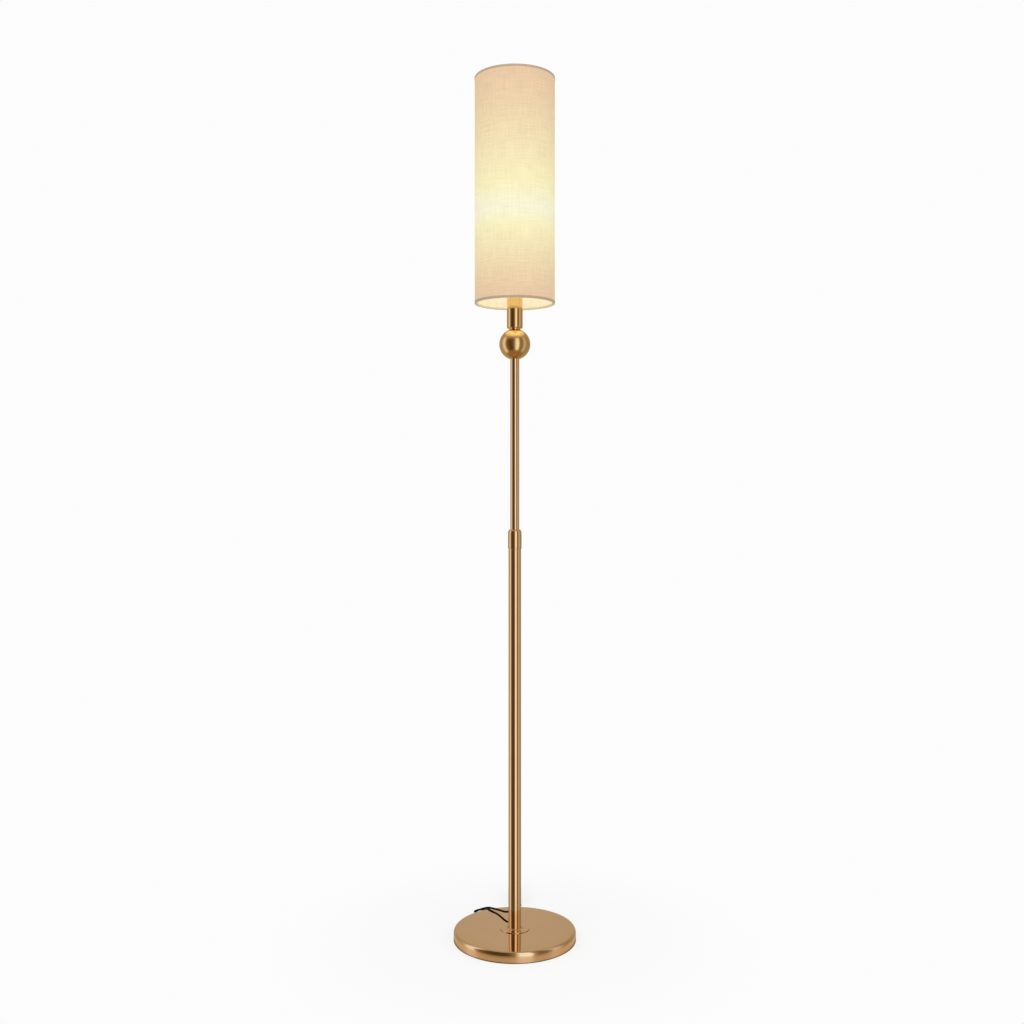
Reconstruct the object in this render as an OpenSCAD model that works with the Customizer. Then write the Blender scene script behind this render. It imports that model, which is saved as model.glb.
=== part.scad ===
// Column floor lamp: a weighted round base, a telescopic brass pole with a twist-lock collar,
// a ball, a tall neck and a slim drum shade on a recessed fitter. Millimetres, +Z up,
// origin on the floor under the middle of the base. The cord leaves towards +Y, the back.

/* [Base] */
// Diameter of the round base
base_d = 232; // [190:1:290]
// Height of the base above the floor
base_h = 21.5; // [18:0.5:30]
// Radius of the cover's rounded top edge
base_edge_r = 4.5; // [4:0.5:9]
// Wall of the spun cover
cover_wall = 1.5; // [1:0.1:2.5]
// Gap between the cover's rim and the floor
rim_lift = 1; // [0.5:0.1:1.5]
// Thickness of the felt pad
pad_t = 2; // [1.8:0.1:3]

/* [Fixing bolt] */
// Diameter of the bolt that holds the pole
bolt_d = 10; // [8:1:12]
// Width of the bolt's head across its flats
head_af = 17; // [15:1:19]
// Height of the bolt's head
head_h = 6.4; // [5:0.1:7]
// Diameter of the flat washer
washer_d = 24; // [21:1:28]
// Thickness of the flat washer
washer_t = 2; // [1:0.1:2.5]
// Diameter of the spring washer
spring_d = 18; // [17:0.5:20]
// Thickness of the spring washer
spring_t = 2.2; // [1.5:0.1:2.5]

/* [Pole foot] */
// Diameter of the foot flange
flange_d = 57; // [45:1:80]
// Height of the foot flange
flange_h = 2; // [2:0.5:8]
// Depth to which the pole sits in the flange
seat_depth = 1; // [0.5:0.1:1.2]
// Length of the threaded plug in the foot of the pole
plug_len = 11; // [8:1:13]

/* [Lower tube] */
// Outer diameter of the lower tube
lower_d = 24; // [22:0.5:28]
// Wall of the lower tube
lower_wall = 1.5; // [1:0.1:1.6]
// Length of the lower tube
lower_len = 715.7; // [500:0.1:900]

/* [Upper tube] */
// Outer diameter of the upper tube
upper_d = 17; // [16:0.5:17.5]
// Wall of the upper tube
upper_wall = 1.25; // [1:0.05:1.3]
// Length of the upper tube
upper_len = 404.6; // [360:0.1:500]

/* [Twist lock] */
// Outer diameter of the lock collar
collar_d = 26; // [25.5:0.5:32]
// Length of the lock collar
collar_len = 36.7; // [34:0.1:50]
// Radius of the collar's rounded top edge
collar_edge_r = 4; // [2:0.5:4]
// Radius of the collar's bottom edge
collar_foot_r = 0.8; // [0.3:0.1:1]
// Depth of the ferrule inside the lower tube
spigot_len = 12; // [8:1:20]
// Height of the ferrule's shoulder on the tube
shoulder_h = 3.8; // [1:0.1:5]
// Length of the ferrule's threaded neck
thread_len = 14; // [8:1:16]
// Wall between the ferrule's neck and the outside of the collar
collar_wall = 1.9; // [1.5:0.1:2]
// Length of the slotted collet
collet_len = 16; // [10:1:17]
// Number of slots in the collet
collet_slots = 6; // [4:1:8]
// Width of one slot
slot_w = 1.2; // [0.8:0.1:2]
// Length of the guide bush on the foot of the upper tube
bush_len = 28; // [15:1:40]

/* [Ball] */
// Diameter of the ball
ball_d = 59; // [50:0.5:70]
// Wall of the ball
ball_wall = 2.5; // [2.5:0.1:4]
// Diameter of the spacer on the ball
spacer_d = 20; // [16:0.5:22]
// Height of the spacer
spacer_h = 2.2; // [1:0.1:8]

/* [Neck] */
// Outer diameter of the neck sleeve
neck_d = 30; // [28:0.5:36]
// Wall of the neck sleeve
neck_wall = 1.5; // [1:0.1:2]
// Length of the neck sleeve
neck_len = 130.5; // [110:0.5:150]
// Thickness of the neck sleeve's floor
neck_floor = 2.5; // [2:0.1:4]
// Radius of the neck sleeve's bottom edge
neck_edge_r = 2; // [1:0.1:2]
// Height of the cap's rim on the neck sleeve
neck_cap_h = 1.5; // [1:0.5:3]
// Depth of the cap's spigot in the neck sleeve
neck_cap_spigot = 4; // [2:1:10]
// Diameter of the hollow threaded rod
nipple_d = 10; // [10:0.5:12]
// Bore of the hollow threaded rod
nipple_bore = 7; // [6:0.5:8]
// Width of the neck nut across its flats
nut_af = 14; // [14:0.5:18]
// Height of the neck nut
nut_h = 5; // [3:0.5:7]

/* [Lampholder] */
// Outer diameter of the lampholder's threaded body
holder_d = 39; // [38:0.5:42]
// Length of the lampholder's body
holder_body_len = 32; // [26:1:36]
// Length of the lampholder's cap
holder_cap_len = 26; // [24:1:34]
// Width of the cap's shoulder that the shade rings rest on
holder_shoulder = 2.5; // [2:0.5:4]
// Wall of the lampholder's body
holder_wall = 3; // [2:0.1:3.2]
// Height of each shade ring
shade_ring_h = 5; // [4:0.5:7]
// Width of each shade ring across the wall
shade_ring_w = 5; // [4:0.5:7]
// Diameter of the push bar of the switch
bar_d = 5; // [4:0.5:6]
// Length of the push bar
bar_len = 54; // [50:1:60]
// Travel of the push bar
bar_travel = 5; // [3:0.5:6]
// Height of the push bar above the foot of the cap
bar_z = 14; // [12:0.5:16]
// Distance of the push bar behind the lamp's axis
bar_y = 8; // [6:0.5:9]

/* [Bulb] */
// Diameter of the bulb
bulb_d = 60; // [45:1:64]
// Length of the bulb
bulb_len = 108; // [100:1:118]
// Diameter of the bulb's screw cap
bulb_cap_d = 26.2; // [26:0.1:26.6]
// Length of the bulb's screw cap
bulb_cap_len = 26; // [24:1:28]
// Wall of the bulb
bulb_wall = 1; // [0.6:0.1:2]

/* [Shade] */
// Outer diameter of the shade panel
shade_d = 152; // [130:1:220]
// Height of the shade
shade_h = 429; // [330:1:520]
// Thickness of the fabric and its lining
shade_t = 0.8; // [0.5:0.1:1.5]
// Height of the fitter above the shade's bottom edge
shade_recess = 116.5; // [60:0.5:150]
// Diameter of the frame's wire
wire_d = 3.5; // [2.5:0.1:5]
// Number of arms of the shade frame
arm_count = 3; // [2:1:4]
// Bend radius of the arms
arm_bend_r = 9; // [6:1:15]
// Thickness of the fitter's ring
fitter_t = 2.5; // [1.5:0.1:4]
// Thickness of the hem tape
hem_t = 0.4; // [0.3:0.1:0.8]
// Height of the hem on the outside
hem_h = 3; // [3:0.5:12]
// Width of the lapped seam at the back
seam_w = 10; // [6:1:20]
// Thickness of the lap
lap_t = 0.35; // [0.2:0.05:0.4]

/* [Cord] */
// Diameter of the cord
cord_d = 3.8; // [3.4:0.1:3.8]
// Height of the cord's outlet above the floor
outlet_z = 37.5; // [36.5:0.5:38]
// Length of the outlet's tapered sleeve behind the pole
relief_len = 18.8; // [10:0.1:18.8]
// Width of the tie around the hank
tie_w = 6; // [4:1:7]
// Thickness of the tie
tie_t = 0.8; // [0.5:0.1:1.2]
// Width of the plug
plug_w = 25; // [22:0.5:26]
// Height of the plug
plug_h = 17; // [15:0.5:18]
// Length of the plug's body
plug_body_len = 32; // [28:1:36]

/* [Fits] */
// Gap round a piece that is fixed in another
fit = 0.05; // [0.02:0.01:0.08]
// Running clearance round a piece that turns or slides
run = 0.08; // [0.05:0.01:0.1]
// Clearance round a screw in a plain hole
hole_gap = 0.25; // [0.1:0.05:0.5]

/* [Hidden] */
$fn = 96;
BRASS = "#c9a06a";
SATIN_BRASS = "#b98d55";
STEEL = "#a8a8aa";
IRON = "#5a5a5c";
NYLON = "#d8d4c8";
BLACK = "#222224";
LINEN = "#efe2bd";

// Heights of the base and the foot
cover_top = base_h;
weight_top = base_h - cover_wall;
head_gap = 0.4;
head_z = pad_t + head_gap;
spring_z = head_z + head_h;
washer_z = spring_z + spring_t;
counterbore_top = washer_z + washer_t;
flange_top = cover_top + flange_h;
lower_z = flange_top - seat_depth;
bolt_end_gap = 1;
bolt_top = lower_z + plug_len - bolt_end_gap;
counterbore_d = washer_d + 2;
pad_gap = 1;
pad_d = base_d - 2 * (cover_wall + pad_gap);
flange_edge_r = 0.8;

// Tubes
lower_r = lower_d / 2;
lower_ri = lower_r - lower_wall;
upper_r = upper_d / 2;
upper_ri = upper_r - upper_wall;
lower_top = lower_z + lower_len;
stop_gap = 0.5;
bush_top = lower_top - spigot_len - stop_gap;
upper_z = bush_top - bush_len;
upper_top = upper_z + upper_len;

// Twist lock
collar_r = collar_d / 2;
neck_thread_r = collar_r - collar_wall - run;
ferrule_bore_r = upper_r + 2 * run;
shoulder_top = lower_top + shoulder_h;
collar_z = shoulder_top + 0.3;
thread_top = shoulder_top + thread_len;
collet_top = thread_top + collet_len;
collet_r = neck_thread_r - run;
collet_taper = 1.3;
collet_step = 4;
cone_gap = 0.3;
collet_cone_h = collet_len - collet_step;
slot_floor = 3;

// Ball, spacer and neck
ball_r = ball_d / 2;
ball_z = upper_top + sqrt(ball_r * ball_r - upper_r * upper_r);
spacer_z = ball_z + sqrt(ball_r * ball_r - spacer_d * spacer_d / 4);
neck_z = spacer_z + spacer_h;
neck_top = neck_z + neck_len;
neck_r = neck_d / 2;
neck_ri = neck_r - neck_wall;
insert_len = 14;
lock_washer_t = 1;
lock_washer_d = nut_af + 4;
nut_z = neck_z + neck_floor + lock_washer_t;
nipple_r = nipple_d / 2;
nipple_grip = 6.5;

// Lampholder, heights from its foot
holder_z = neck_top + neck_cap_h;
holder_r = holder_d / 2;
holder_ri = holder_r - holder_wall;
cap_wall = 4;
cap_foot_r = 13.5;
cap_flare_h = 7;
cap_cavity_r = holder_ri - 1;
insert_flange_t = 2;
insert_flange_r = holder_ri + 0.4;
insert_post_h = 3.5;
holder_body_z = holder_z + holder_cap_len;
insert_top = holder_body_z + insert_post_h;
contact_t = 0.8;
contact_rise = 0.2;
bulb_z = insert_top + contact_t + contact_rise;
shell_gap = 0.2;
shell_t = 0.8;
shell_h = 24;
lip_h = 3;
lip_r = bulb_cap_d / 2 + 1.9;

// Shade
ring_low_z = holder_body_z;
fitter_z = ring_low_z + shade_ring_h;
ring_up_z = fitter_z + fitter_t;
ring_ri = holder_r + 2 * fit;
ring_ro = ring_ri + shade_ring_w;
fitter_ri = holder_r + 0.3;
fitter_ro = ring_ro + 1.5;
arm_root = ring_ro + 0.2;
shade_z = fitter_z - shade_recess;
shade_top = shade_z + shade_h;
shade_r = shade_d / 2;
shade_ri = shade_r - shade_t;
wire_r = wire_d / 2;
wire_ring_r = shade_ri - fit - wire_r;
hem_ri = wire_ring_r - wire_r - fit - hem_t;
hem_ro = shade_r + fit + hem_t;
arm_z = fitter_z + fitter_t / 2;

// Bulb
bulb_r = bulb_d / 2;
bulb_mid = bulb_len - bulb_r;
bulb_neck_r = bulb_cap_d / 2 + 0.9;
bulb_neck_z = bulb_cap_len + 6;

// Cord: a free stretch, a hank behind the pole and a tail to the plug
cord_r = cord_d / 2;
lead_bend_r = 10;
lead_fixed_z = 60;
outlet_bush_r = cord_r + 1.4;
outlet_flange_r = outlet_bush_r + 1.1;
outlet_flange_t = 1.2;
outlet_lip = 1;
relief_tip_r = cord_r + 0.7;
relief_end = lower_r + outlet_flange_t + relief_len;
CORD_ROUTE = [
    [0, 32, 37.5], [0, 37, 37.3], [-2.5, 43, 36.2], [-7, 50, 34.2], [-12.5, 56, 32], [-19, 62, 30],
    [-26.5, 73, 27.9], [-33, 83, 26.2], [-39.5, 90.5, 25.2], [-45.5, 96.5, 24.5], [-51, 102, 23.4],
    [-57, 108, 20.8], [-63, 114, 17.4], [-69, 120, 13.5], [-74.5, 125.5, 9.2], [-79, 131, 5.2],
    [-81, 137.5, 2.6], [-79, 144, 2], [-73, 149, 2], [-64, 151, 2], [-50, 150.5, 2],
    [-35, 150, 2], [-20, 150, 2], [-7, 150.5, 2], [3, 154, 2.05], [9, 161, 2.15],
    [11.4, 171, 2.35], [11.4, 182, 2.4]
];
HANK_Y = 182;
HANK_Z = 2.4;
HANK_RUN = 68.4;
HANK_R = 11.4;
HANK_WAIST = 2.25;
HANK_PITCH = 4.3;
HANK_LOOPS = 7;
HANK_STEPS = 8;
TAIL_ROUTE = [
    [11.4, 182, 32.5], [11.4, 184, 32.5], [11.1, 188, 32.7], [10.1, 192, 33.3], [8.5, 196, 34.2],
    [6.7, 200, 35.35], [4.7, 204, 36.55], [2.9, 208, 37.7], [1.3, 212, 38.6], [0.3, 216, 39.2],
    [0, 219.5, 39.4], [0, 222, 39.4]
];
TAIL_END = TAIL_ROUTE[len(TAIL_ROUTE) - 1];
plug_taper = 22;
blade_w = 6.4;
blade_t = 1.5;
blade_len = 17.5;
blade_gap = 12.7;

// ---- shared shapes ----

// Plain tube or washer on the axis
module tube(ri, ro, h) {
    difference() {
        cylinder(r = ro, h = h);
        translate([0, 0, -1]) cylinder(r = ri, h = h + 2);
    }
}

// Quarter of a disc in the first quadrant
module quarter(r) {
    intersection() {
        circle(r = r);
        square(r);
    }
}

// Disc whose top edge is rounded, and its bottom edge too where foot is given
module rounded_disc(r, h, edge, foot = 0) {
    rotate_extrude() union() {
        square([r - edge, h]);
        translate([0, foot]) square([r, h - edge - foot]);
        translate([r - edge, h - edge]) quarter(edge);
        if (foot > 0) {
            square([r - foot, h - edge]);
            translate([r - foot, foot]) mirror([0, 1]) quarter(foot);
        }
    }
}

// Hexagonal prism given across its flats
module hexagon(af, h) {
    cylinder(d = af / cos(30), h = h, $fn = 6);
}

function unit(v) = v / norm(v);
function heading(path, i) =
    unit(path[min(i + 1, len(path) - 1)] - path[max(i - 1, 0)]);
function ring_at(path, i, r, sides) =
    let (
        along = heading(path, i),
        across = unit(cross([0, 0, 1], along)),
        up = cross(along, across)
    )
    [for (k = [0:sides - 1]) path[i] + r * cos(360 * k / sides) * across
        + r * sin(360 * k / sides) * up];
function path_length(path, i = 1) =
    i >= len(path) ? 0 : norm(path[i] - path[i - 1]) + path_length(path, i + 1);

// Closed tube swept along a path
module swept_tube(path, r, sides) {
    rings = len(path);
    points = [for (i = [0:rings - 1]) each ring_at(path, i, r, sides)];
    walls = [for (i = [0:rings - 2], k = [0:sides - 1])
        let (a = i * sides + k, b = i * sides + (k + 1) % sides)
        each [[a, a + sides, b], [b, a + sides, b + sides]]];
    ends = [for (k = [1:sides - 2]) each [[0, k, k + 1],
        [(rings - 1) * sides, (rings - 1) * sides + k + 1, (rings - 1) * sides + k]]];
    polyhedron(points = points, faces = concat(walls, ends));
}

// ---- base ----

module base_pad() {
    color("#3b3a38") cylinder(d = pad_d, h = pad_t);
}

module base_cover() {
    color(BRASS) difference() {
        translate([0, 0, rim_lift])
            rounded_disc(base_d / 2, cover_top - rim_lift, base_edge_r);
        rounded_disc(base_d / 2 - cover_wall, weight_top, base_edge_r - cover_wall);
        cylinder(r = bolt_d / 2 + hole_gap, h = cover_top + 1);
    }
}

module base_weight() {
    color(IRON) difference() {
        translate([0, 0, pad_t])
            rounded_disc(base_d / 2 - cover_wall - fit, weight_top - pad_t, base_edge_r);
        translate([0, 0, pad_t - 1]) cylinder(d = counterbore_d, h = counterbore_top - pad_t + 1);
        cylinder(r = bolt_d / 2 + hole_gap, h = weight_top + 1);
    }
}

module pole_bolt() {
    color(STEEL) {
        translate([0, 0, head_z]) hexagon(head_af, head_h);
        translate([0, 0, head_z]) cylinder(d = bolt_d, h = bolt_top - head_z);
    }
}

module spring_washer() {
    color(STEEL) translate([0, 0, spring_z]) difference() {
        tube(bolt_d / 2 + hole_gap, spring_d / 2, spring_t);
        rotate([0, 0, 30]) translate([0, -0.5, -1]) cube([spring_d, 1, spring_t + 2]);
    }
}

module flat_washer() {
    color(STEEL) translate([0, 0, washer_z]) tube(bolt_d / 2 + hole_gap, washer_d / 2, washer_t);
}

// ---- pole ----

module foot_flange() {
    color(BRASS) translate([0, 0, cover_top]) difference() {
        rounded_disc(flange_d / 2, flange_h, flange_edge_r);
        translate([0, 0, flange_h - seat_depth]) cylinder(r = lower_r + fit, h = seat_depth + 1);
        translate([0, 0, -1]) cylinder(r = bolt_d / 2 + hole_gap, h = flange_h + 2);
    }
}

module pole_foot_plug() {
    color(STEEL) translate([0, 0, lower_z]) tube(bolt_d / 2 + fit, lower_ri - fit, plug_len);
}

module lower_tube() {
    color(BRASS) difference() {
        translate([0, 0, lower_z]) tube(lower_ri, lower_r, lower_len);
        translate([0, 0, outlet_z]) rotate([-90, 0, 0])
            cylinder(r = outlet_bush_r + fit, h = lower_r + 1);
    }
}

module cord_outlet() {
    color(BLACK) translate([0, 0, outlet_z]) rotate([-90, 0, 0]) difference() {
        union() {
            translate([0, 0, lower_ri - outlet_lip])
                cylinder(r = outlet_bush_r, h = lower_wall + outlet_lip + outlet_flange_t / 2);
            intersection() {
                cylinder(r = outlet_flange_r, h = lower_r + outlet_flange_t);
                rotate([90, 0, 0]) translate([0, 0, -outlet_z])
                    tube(lower_r + fit, lower_r + outlet_flange_t, 2 * outlet_z);
            }
            translate([0, 0, lower_r + outlet_flange_t / 2])
                cylinder(r1 = outlet_bush_r, r2 = relief_tip_r, h = relief_len + outlet_flange_t / 2);
        }
        cylinder(r = cord_r + fit, h = relief_end + 1);
    }
}

module lead_bend() {
    color(BLACK) {
        translate([0, relief_end, outlet_z]) rotate([90, 0, 0])
            cylinder(r = cord_r, h = relief_end - lead_bend_r);
        translate([0, lead_bend_r, outlet_z + lead_bend_r]) rotate([0, 90, 0]) rotate([0, 0, 180])
            rotate_extrude(angle = 90) translate([lead_bend_r, 0]) circle(r = cord_r);
        translate([0, 0, outlet_z + lead_bend_r])
            cylinder(r = cord_r, h = lead_fixed_z - outlet_z - lead_bend_r);
    }
}

module lead_in_pole() {
    color(BLACK) translate([0, 0, lead_fixed_z]) cylinder(r = cord_r, h = upper_z - lead_fixed_z);
}

// ---- twist lock ----

module tube_ferrule() {
    color(BRASS) difference() {
        union() {
            translate([0, 0, lower_top - spigot_len]) cylinder(r = lower_ri - fit, h = spigot_len);
            translate([0, 0, lower_top]) cylinder(r = lower_r, h = shoulder_h);
            translate([0, 0, shoulder_top]) cylinder(r = neck_thread_r, h = thread_len);
        }
        translate([0, 0, lower_top - spigot_len - 1])
            cylinder(r = ferrule_bore_r, h = spigot_len + shoulder_h + thread_len + 2);
    }
}

module collet() {
    color(NYLON) translate([0, 0, thread_top]) difference() {
        union() {
            cylinder(r = collet_r, h = collet_step);
            translate([0, 0, collet_step])
                cylinder(r1 = collet_r, r2 = collet_r - collet_taper, h = collet_cone_h);
        }
        translate([0, 0, -1]) cylinder(r = upper_r + run, h = collet_len + 2);
        for (i = [0:collet_slots - 1]) rotate([0, 0, 360 * i / collet_slots])
            translate([0, -slot_w / 2, slot_floor]) cube([collar_r, slot_w, collet_len]);
    }
}

module lock_collar() {
    step_z = thread_top + collet_step - collar_z;
    cone_h = collet_cone_h + cone_gap;
    color(BRASS) translate([0, 0, collar_z]) difference() {
        rounded_disc(collar_r, collar_len, collar_edge_r, collar_foot_r);
        translate([0, 0, -1]) cylinder(r = neck_thread_r + run, h = step_z + 1.01);
        translate([0, 0, step_z])
            cylinder(r1 = neck_thread_r + run, r2 = neck_thread_r + run - collet_taper, h = cone_h);
        cylinder(r = upper_r + run, h = collar_len + 1);
    }
}

module guide_bush() {
    color(NYLON) translate([0, 0, upper_z]) tube(upper_r + fit, lower_ri - run, bush_len);
}

module upper_tube() {
    color(BRASS) translate([0, 0, upper_z]) tube(upper_ri, upper_r, upper_len);
}

module tube_top_insert() {
    color(STEEL) translate([0, 0, upper_top - insert_len])
        tube(nipple_r + fit, upper_ri - fit, insert_len);
}

// ---- ball and neck ----

module ball() {
    color(SATIN_BRASS) difference() {
        translate([0, 0, ball_z]) sphere(r = ball_r);
        translate([0, 0, ball_z]) sphere(r = ball_r - ball_wall);
        translate([0, 0, upper_top - ball_r]) cylinder(r = ball_r, h = ball_r);
        translate([0, 0, spacer_z]) cylinder(r = ball_r, h = ball_r);
        translate([0, 0, upper_top - 1]) cylinder(r = nipple_r + hole_gap, h = ball_d);
    }
}

module ball_spacer() {
    color(BRASS) translate([0, 0, spacer_z]) tube(nipple_r + hole_gap, spacer_d / 2, spacer_h);
}

module neck_sleeve() {
    color(BRASS) difference() {
        translate([0, 0, neck_top]) mirror([0, 0, 1]) rounded_disc(neck_r, neck_len, neck_edge_r);
        translate([0, 0, neck_z + neck_floor]) cylinder(r = neck_ri, h = neck_len);
        translate([0, 0, neck_z - 1]) cylinder(r = nipple_r + hole_gap, h = neck_floor + 2);
    }
}

module neck_washer() {
    color(STEEL) translate([0, 0, neck_z + neck_floor])
        tube(nipple_r + hole_gap, lock_washer_d / 2, lock_washer_t);
}

module neck_nut() {
    color(STEEL) translate([0, 0, nut_z]) difference() {
        hexagon(nut_af, nut_h);
        translate([0, 0, -1]) cylinder(r = nipple_r + fit, h = nut_h + 2);
    }
}

module neck_cap() {
    color(BRASS) difference() {
        union() {
            translate([0, 0, neck_top]) cylinder(r = neck_r, h = neck_cap_h);
            translate([0, 0, neck_top - neck_cap_spigot])
                cylinder(r = neck_ri - fit, h = neck_cap_spigot);
        }
        translate([0, 0, neck_top - neck_cap_spigot - 1])
            cylinder(r = nipple_r + hole_gap, h = neck_cap_spigot + neck_cap_h + 2);
    }
}

module head_nipple() {
    color(STEEL) translate([0, 0, upper_top - insert_len])
        tube(nipple_bore / 2, nipple_r, holder_z + nipple_grip - upper_top + insert_len);
}

module lead_in_head() {
    color(BLACK) translate([0, 0, upper_z])
        cylinder(r = cord_r, h = holder_body_z - insert_flange_t - upper_z);
}

// ---- lampholder ----

module holder_cap() {
    cap_r = holder_r + 0.5;
    color("#e9e6de") translate([0, 0, holder_z]) difference() {
        union() {
            cylinder(r1 = cap_foot_r, r2 = cap_r, h = cap_flare_h);
            translate([0, 0, cap_flare_h]) cylinder(r = cap_r, h = holder_cap_len - cap_flare_h);
            translate([0, 0, holder_cap_len - 3]) cylinder(r = holder_r + holder_shoulder, h = 3);
        }
        translate([0, 0, -1]) cylinder(r = nipple_r + fit, h = cap_wall + 2);
        translate([0, 0, cap_wall]) cylinder(r1 = cap_foot_r - 3, r2 = cap_cavity_r, h = 3);
        translate([0, 0, cap_wall + 3]) cylinder(r = cap_cavity_r, h = holder_cap_len);
        translate([0, 0, holder_cap_len - insert_flange_t])
            cylinder(r = insert_flange_r + fit, h = insert_flange_t + 1);
        translate([-holder_d, bar_y, bar_z]) rotate([0, 90, 0])
            cylinder(r = bar_d / 2 + run, h = 2 * holder_d);
    }
}

module holder_body() {
    color("#e9e6de") translate([0, 0, holder_body_z]) difference() {
        cylinder(r = holder_r, h = holder_body_len);
        translate([0, 0, -1]) cylinder(r = holder_ri, h = holder_body_len - lip_h + 1);
        cylinder(r = lip_r, h = holder_body_len + 1);
    }
}

module holder_insert() {
    color("#f4f2ec") translate([0, 0, holder_body_z]) {
        translate([0, 0, -insert_flange_t]) cylinder(r = insert_flange_r, h = insert_flange_t);
        cylinder(r = holder_ri - 0.3, h = insert_post_h);
    }
}

module screw_shell() {
    shell_ri = bulb_cap_d / 2 + shell_gap;
    color(BRASS) translate([0, 0, insert_top]) {
        tube(shell_ri, shell_ri + shell_t, shell_h);
        tube(shell_ri - 5, shell_ri + shell_t, shell_t);
    }
}

module centre_contact() {
    color(BRASS) translate([0, 0, insert_top]) {
        translate([-5.5, -2.5, 0]) cube([11, 5, contact_t]);
        cylinder(r = 2.2, h = contact_t + contact_rise);
    }
}

module terminal_screws() {
    screw_z = holder_body_z - insert_flange_t;
    color(STEEL) for (side = [-1, 1]) translate([9 * side, -7, screw_z - 3]) {
        cylinder(r = 2.2, h = 2);
        cylinder(r = 1.4, h = 3);
    }
}

module push_bar() {
    color(BLACK) translate([bar_travel / 2, bar_y, holder_z + bar_z]) rotate([0, 90, 0]) {
        translate([0, 0, -bar_len / 2]) cylinder(d = bar_d, h = bar_len);
        for (side = [-1, 1]) translate([0, 0, side * bar_len / 2]) sphere(d = bar_d);
    }
}

module shade_ring_lower() {
    color("#e9e6de") translate([0, 0, ring_low_z]) tube(ring_ri, ring_ro, shade_ring_h);
}

module shade_ring_upper() {
    color("#e9e6de") translate([0, 0, ring_up_z]) tube(ring_ri, ring_ro, shade_ring_h);
}

// ---- bulb ----

// Half outline of the bulb, drawn in by the wall
module bulb_outline(inset) {
    r = bulb_r - inset;
    neck = bulb_neck_r - inset;
    drop = bulb_mid - bulb_neck_z;
    reach = sqrt(neck * neck + drop * drop);
    touch = atan2(-drop, neck) + acos(r / reach);
    intersection() {
        union() {
            translate([0, bulb_mid]) circle(r = r);
            polygon([[0, bulb_cap_len], [neck, bulb_cap_len], [neck, bulb_neck_z],
                [r * cos(touch), bulb_mid + r * sin(touch)], [0, bulb_mid]]);
        }
        translate([0, bulb_cap_len + inset]) square([bulb_d, bulb_len]);
    }
}

module bulb_glass() {
    color("#fff4d8") translate([0, 0, bulb_z]) difference() {
        rotate_extrude() bulb_outline(0);
        rotate_extrude() bulb_outline(bulb_wall);
    }
}

module bulb_screw_cap() {
    r = bulb_cap_d / 2;
    color(STEEL) translate([0, 0, bulb_z]) rotate_extrude()
        polygon([[0, 0], [4.5, 0], [4.5, 1], [r - 1.5, 6], [r, 7.5], [r, bulb_cap_len], [0, bulb_cap_len]]);
}

// ---- shade ----

module shade_panel() {
    panel_h = shade_h - 2 * hem_t;
    color(LINEN) {
        translate([0, 0, shade_z + hem_t]) tube(shade_ri, shade_r, panel_h);
        translate([0, 0, shade_z + hem_h + fit]) intersection() {
            tube(shade_ri, shade_r + lap_t, shade_h - 2 * (hem_h + fit));
            translate([-seam_w / 2, 0, 0]) cube([seam_w, shade_d, shade_h]);
        }
    }
}

module wire_ring() {
    rotate_extrude() translate([wire_ring_r, 0]) circle(r = wire_r);
}

module top_wire_ring() {
    color(STEEL) translate([0, 0, shade_top - hem_t - wire_r]) wire_ring();
}

// Fitter ring, bent arms and bottom wire, welded together
module shade_frame() {
    ring_z = shade_z + hem_t + wire_r;
    reach = wire_ring_r - arm_bend_r;
    color(STEEL) {
        translate([0, 0, fitter_z]) tube(fitter_ri, fitter_ro, fitter_t);
        translate([0, 0, ring_z]) wire_ring();
        for (i = [0:arm_count - 1]) rotate([0, 0, 90 + 360 * i / arm_count]) {
            translate([arm_root, 0, arm_z]) rotate([0, 90, 0])
                cylinder(r = wire_r, h = reach - arm_root);
            translate([reach, 0, arm_z - arm_bend_r]) rotate([90, 0, 0])
                rotate_extrude(angle = 90) translate([arm_bend_r, 0]) circle(r = wire_r);
            translate([wire_ring_r, 0, ring_z]) cylinder(r = wire_r, h = arm_z - arm_bend_r - ring_z);
        }
    }
}

// Tape folded over the rim, drawn for the bottom edge
module hem_tape() {
    rotate_extrude() {
        translate([hem_ro - hem_t, 0]) square([hem_t, hem_h]);
        translate([hem_ri, 0]) square([hem_ro - hem_ri, hem_t]);
        translate([hem_ri, 0]) square([hem_t, hem_t + wire_d]);
    }
}

module top_hem() {
    color("#c9b08a") translate([0, 0, shade_top]) mirror([0, 0, 1]) hem_tape();
}

module bottom_hem() {
    color("#c9b08a") translate([0, 0, shade_z]) hem_tape();
}

// ---- cord ----

// Half the hank's width along a run, drawn in at the waist
function hank_half(t) =
    HANK_WAIST + (HANK_R - HANK_WAIST) * (0.5 - 0.5 * cos(180 * abs(2 * t - 1)));
// Point on the hank: away on the right, a fold, back on the left while it climbs, a fold
function hank_point(step) =
    let (
        loop = floor(step / (4 * HANK_STEPS)),
        part = step - loop * 4 * HANK_STEPS,
        leg = floor(part / HANK_STEPS),
        t = (part - leg * HANK_STEPS) / HANK_STEPS,
        climb = leg < 2 ? 0 : leg == 2 ? t : 1,
        flat =
            leg == 0 ? [hank_half(t), HANK_RUN * t]
            : leg == 1 ? [HANK_R * cos(180 * t), HANK_RUN + HANK_R * sin(180 * t)]
            : leg == 2 ? [-hank_half(t), HANK_RUN * (1 - t)]
            : [-HANK_R * cos(180 * t), -HANK_R * sin(180 * t)]
    )
    [flat[0], HANK_Y + flat[1], HANK_Z + HANK_PITCH * (loop + climb)];
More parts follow.
